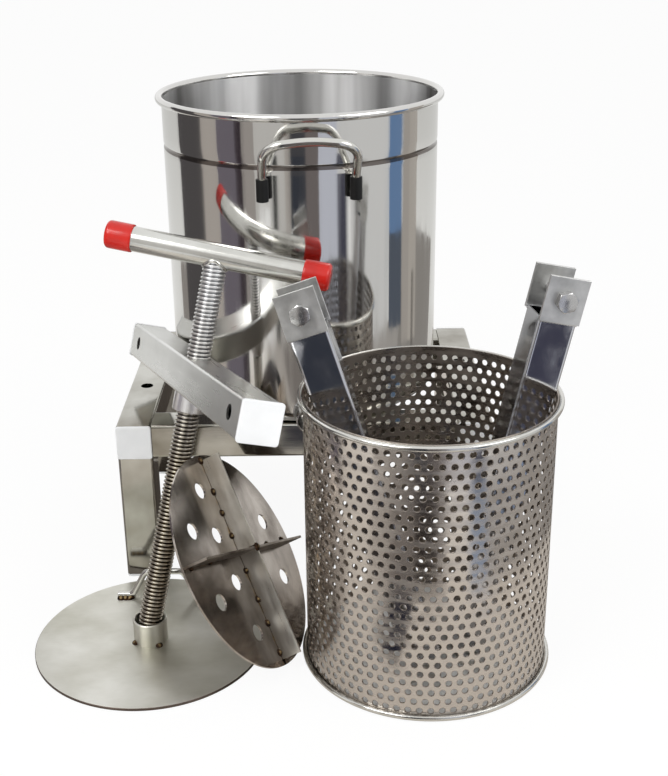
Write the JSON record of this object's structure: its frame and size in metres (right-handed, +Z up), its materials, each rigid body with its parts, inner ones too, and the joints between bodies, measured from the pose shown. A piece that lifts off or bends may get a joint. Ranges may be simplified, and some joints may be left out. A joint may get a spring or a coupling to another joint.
{
  "type": "honey press",
  "caption": "Hand screw press for honeycomb: bucket with spout on a square-tube stand, perforated basket, press plate, screw with T-handle, cross beam, arms and strainer disc.",
  "frame": {"origin": "on the floor, under the middle of the whole layout", "axes": "+Z up; -Y towards the viewer, the side the spout faces; +X to the viewer's right"},
  "size_m": [0.5404, 0.6101, 0.514],
  "materials": {
    "satin_steel": "ground stainless steel",
    "bright_steel": "polished stainless steel",
    "plate_steel": "satin stainless steel",
    "bolt_steel": "machined stainless steel",
    "white_plastic": "moulded white plastic",
    "black_rubber": "black rubber sleeve",
    "red_plastic": "dipped red plastic"
  },
  "bodies": {
    "stand": {"left_side_rail": "satin_steel", "right_side_rail": "satin_steel", "front_cross_rail": "satin_steel", "rear_cross_rail": "satin_steel", "leg_front_left": "satin_steel", "leg_front_right": "satin_steel", "leg_rear_left": "satin_steel", "leg_rear_right": "satin_steel", "rail_cap_front_left": "white_plastic", "rail_cap_front_right": "white_plastic", "rail_cap_rear_left": "white_plastic", "rail_cap_rear_right": "white_plastic", "foot_plug_front_left": "white_plastic", "foot_plug_front_right": "white_plastic", "foot_plug_rear_left": "white_plastic", "foot_plug_rear_right": "white_plastic"},
    "bucket": {"bucket_shell": "bright_steel", "outlet_spout": "bright_steel", "front_handle_wire": "bright_steel", "rear_handle_wire": "bright_steel", "handle_sleeve_front_left": "black_rubber", "handle_sleeve_front_right": "black_rubber", "handle_sleeve_rear_left": "black_rubber", "handle_sleeve_rear_right": "black_rubber"},
    "basket": {"basket_wall": "bright_steel", "basket_top_bead": "bright_steel", "basket_bottom_bead": "bright_steel"},
    "strainer": {"strainer_disc": "plate_steel", "disc_long_rib": "plate_steel", "disc_half_rib_left": "plate_steel", "disc_half_rib_right": "plate_steel"},
    "beam": {"beam_tube": "bright_steel", "beam_cap_near": "white_plastic", "beam_cap_far": "white_plastic", "screw_nut": "bright_steel"},
    "plate": {"press_plate": "plate_steel", "plate_socket": "plate_steel", "plate_bail": "plate_steel"},
    "screw": {"press_screw": "bright_steel", "handle_pipe": "bright_steel", "handle_grip_left": "red_plastic", "handle_grip_right": "red_plastic"},
    "left_arm": {"left_arm_tube": "bright_steel", "left_arm_foot": "bright_steel", "left_arm_front_ear": "satin_steel", "left_arm_rear_ear": "satin_steel", "left_arm_bolt": "bolt_steel", "left_arm_nut": "bolt_steel"},
    "right_arm": {"right_arm_tube": "bright_steel", "right_arm_foot": "bright_steel", "right_arm_front_ear": "satin_steel", "right_arm_rear_ear": "satin_steel", "right_arm_bolt": "bolt_steel", "right_arm_nut": "bolt_steel"}
  },
  "joints": [
    {"name": "bucket_lift", "type": "slide", "parent": "stand", "child": "bucket", "axis": [0, 0, 1], "range_m": [0, 0.3]},
    {"name": "basket_lift", "type": "slide", "parent": "stand", "child": "basket", "axis": [0, 0, 1], "range_m": [0, 0.15]},
    {"name": "left_arm_lift", "type": "slide", "parent": "basket", "child": "left_arm", "axis": [0, 0, 1], "range_m": [0, 0.29]},
    {"name": "right_arm_lift", "type": "slide", "parent": "basket", "child": "right_arm", "axis": [0, 0, 1], "range_m": [0, 0.29]},
    {"name": "press_head_lift", "type": "slide", "parent": "stand", "child": "plate", "axis": [0, 0, 1], "range_m": [0, 0.03]},
    {"name": "screw_turn", "type": "hinge", "parent": "plate", "child": "screw", "pos_m": [-0.15699, -0.16438, 0.0042], "axis": [0.2041, 0.2507, 0.9463], "range_deg": [-20, 14]},
    {"name": "beam_travel", "type": "slide", "parent": "plate", "child": "beam", "axis": [0.2041, 0.2507, 0.9463], "range_m": [-0.000156, 0.000223]},
    {"name": "strainer_tilt", "type": "hinge", "parent": "stand", "child": "strainer", "pos_m": [-0.00099, -0.17398, 0], "axis": [0.2062, 0.9785, 0], "range_deg": [0, 12]}
  ],
  "couplings": [
    {"joint": "beam_travel", "follows": "screw_turn", "m_per_rad": -0.00063662}
  ]
}
